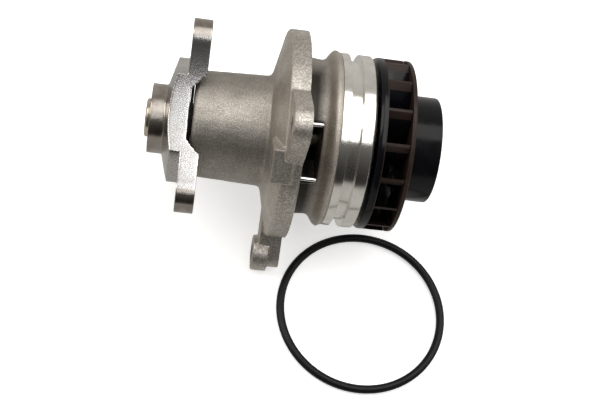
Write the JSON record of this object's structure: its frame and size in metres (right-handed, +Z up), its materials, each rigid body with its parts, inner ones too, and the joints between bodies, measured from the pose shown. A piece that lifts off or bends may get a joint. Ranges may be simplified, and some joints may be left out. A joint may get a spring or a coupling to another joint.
{
  "type": "engine coolant pump",
  "caption": "Engine coolant pump: ribbed cast housing with bolt ears, three-arm drive hub on a bearing shaft, shrouded plastic impeller with inlet neck, and a loose sealing ring",
  "frame": {"origin": "middle of the whole layout's footprint, on the surface that the pump's two lower ears and the loose sealing ring rest on", "axes": "+Z up from that surface; +X along the shaft from the drive hub to the impeller, square to the flange's mounting face; +Y away from the loose sealing ring"},
  "size_m": [0.1376, 0.1406, 0.1002],
  "materials": {
    "cast_aluminium": "satin sand cast, fine grain",
    "turned_steel": "machined, fine turning marks",
    "bearing_steel": "ground, bright",
    "sheet_steel": "pressed sheet, dull",
    "brass": "turned",
    "brown_plastic": "glass-filled moulding, satin",
    "black_plastic": "smooth moulding, glossy",
    "seal_rubber": "matte",
    "ring_rubber": "satin",
    "carbon": "lapped graphite",
    "ceramic": "lapped",
    "cage_plastic": "moulded polyamide"
  },
  "bodies": {
    "housing": {"pump_housing": "cast_aluminium", "bearing_outer_ring": "bearing_steel", "bearing_seal_front": "seal_rubber", "bearing_seal_rear": "seal_rubber", "window_pin_upper": "bearing_steel", "window_pin_lower": "bearing_steel", "seal_cup": "sheet_steel", "seal_bellows": "seal_rubber", "seal_spring": "sheet_steel", "carbon_face": "carbon"},
    "rotor": {"pump_shaft": "bearing_steel", "drive_hub": "turned_steel", "slinger": "seal_rubber", "impeller": "brown_plastic", "impeller_insert": "brass", "impeller_shroud": "black_plastic", "seat_cup": "sheet_steel", "seal_seat": "ceramic"},
    "front_ball_row": {"ball_cage_front": "cage_plastic", "ball_front_1": "bearing_steel", "ball_front_2": "bearing_steel", "ball_front_3": "bearing_steel", "ball_front_4": "bearing_steel", "ball_front_5": "bearing_steel", "ball_front_6": "bearing_steel", "ball_front_7": "bearing_steel"},
    "rear_ball_row": {"ball_cage_rear": "cage_plastic", "ball_rear_1": "bearing_steel", "ball_rear_2": "bearing_steel", "ball_rear_3": "bearing_steel", "ball_rear_4": "bearing_steel", "ball_rear_5": "bearing_steel", "ball_rear_6": "bearing_steel", "ball_rear_7": "bearing_steel"},
    "loose_ring": {"o_ring": "ring_rubber"}
  },
  "joints": [
    {"name": "shaft_spin", "type": "hinge", "parent": "housing", "child": "rotor", "pos_m": [0, 0.02471, 0.04557], "axis": [1, 0, 0], "continuous": true},
    {"name": "front_row_spin", "type": "hinge", "parent": "housing", "child": "front_ball_row", "pos_m": [0, 0.02471, 0.04557], "axis": [1, 0, 0], "continuous": true},
    {"name": "rear_row_spin", "type": "hinge", "parent": "housing", "child": "rear_ball_row", "pos_m": [0, 0.02471, 0.04557], "axis": [1, 0, 0], "continuous": true},
    {"name": "ring_lift_off", "type": "slide", "parent": "housing", "child": "loose_ring", "axis": [0, -1, 0], "range_m": [0, 0.08]}
  ],
  "couplings": [
    {"joint": "front_row_spin", "follows": "shaft_spin", "ratio": 0.3807},
    {"joint": "rear_row_spin", "follows": "shaft_spin", "ratio": 0.3807}
  ]
}
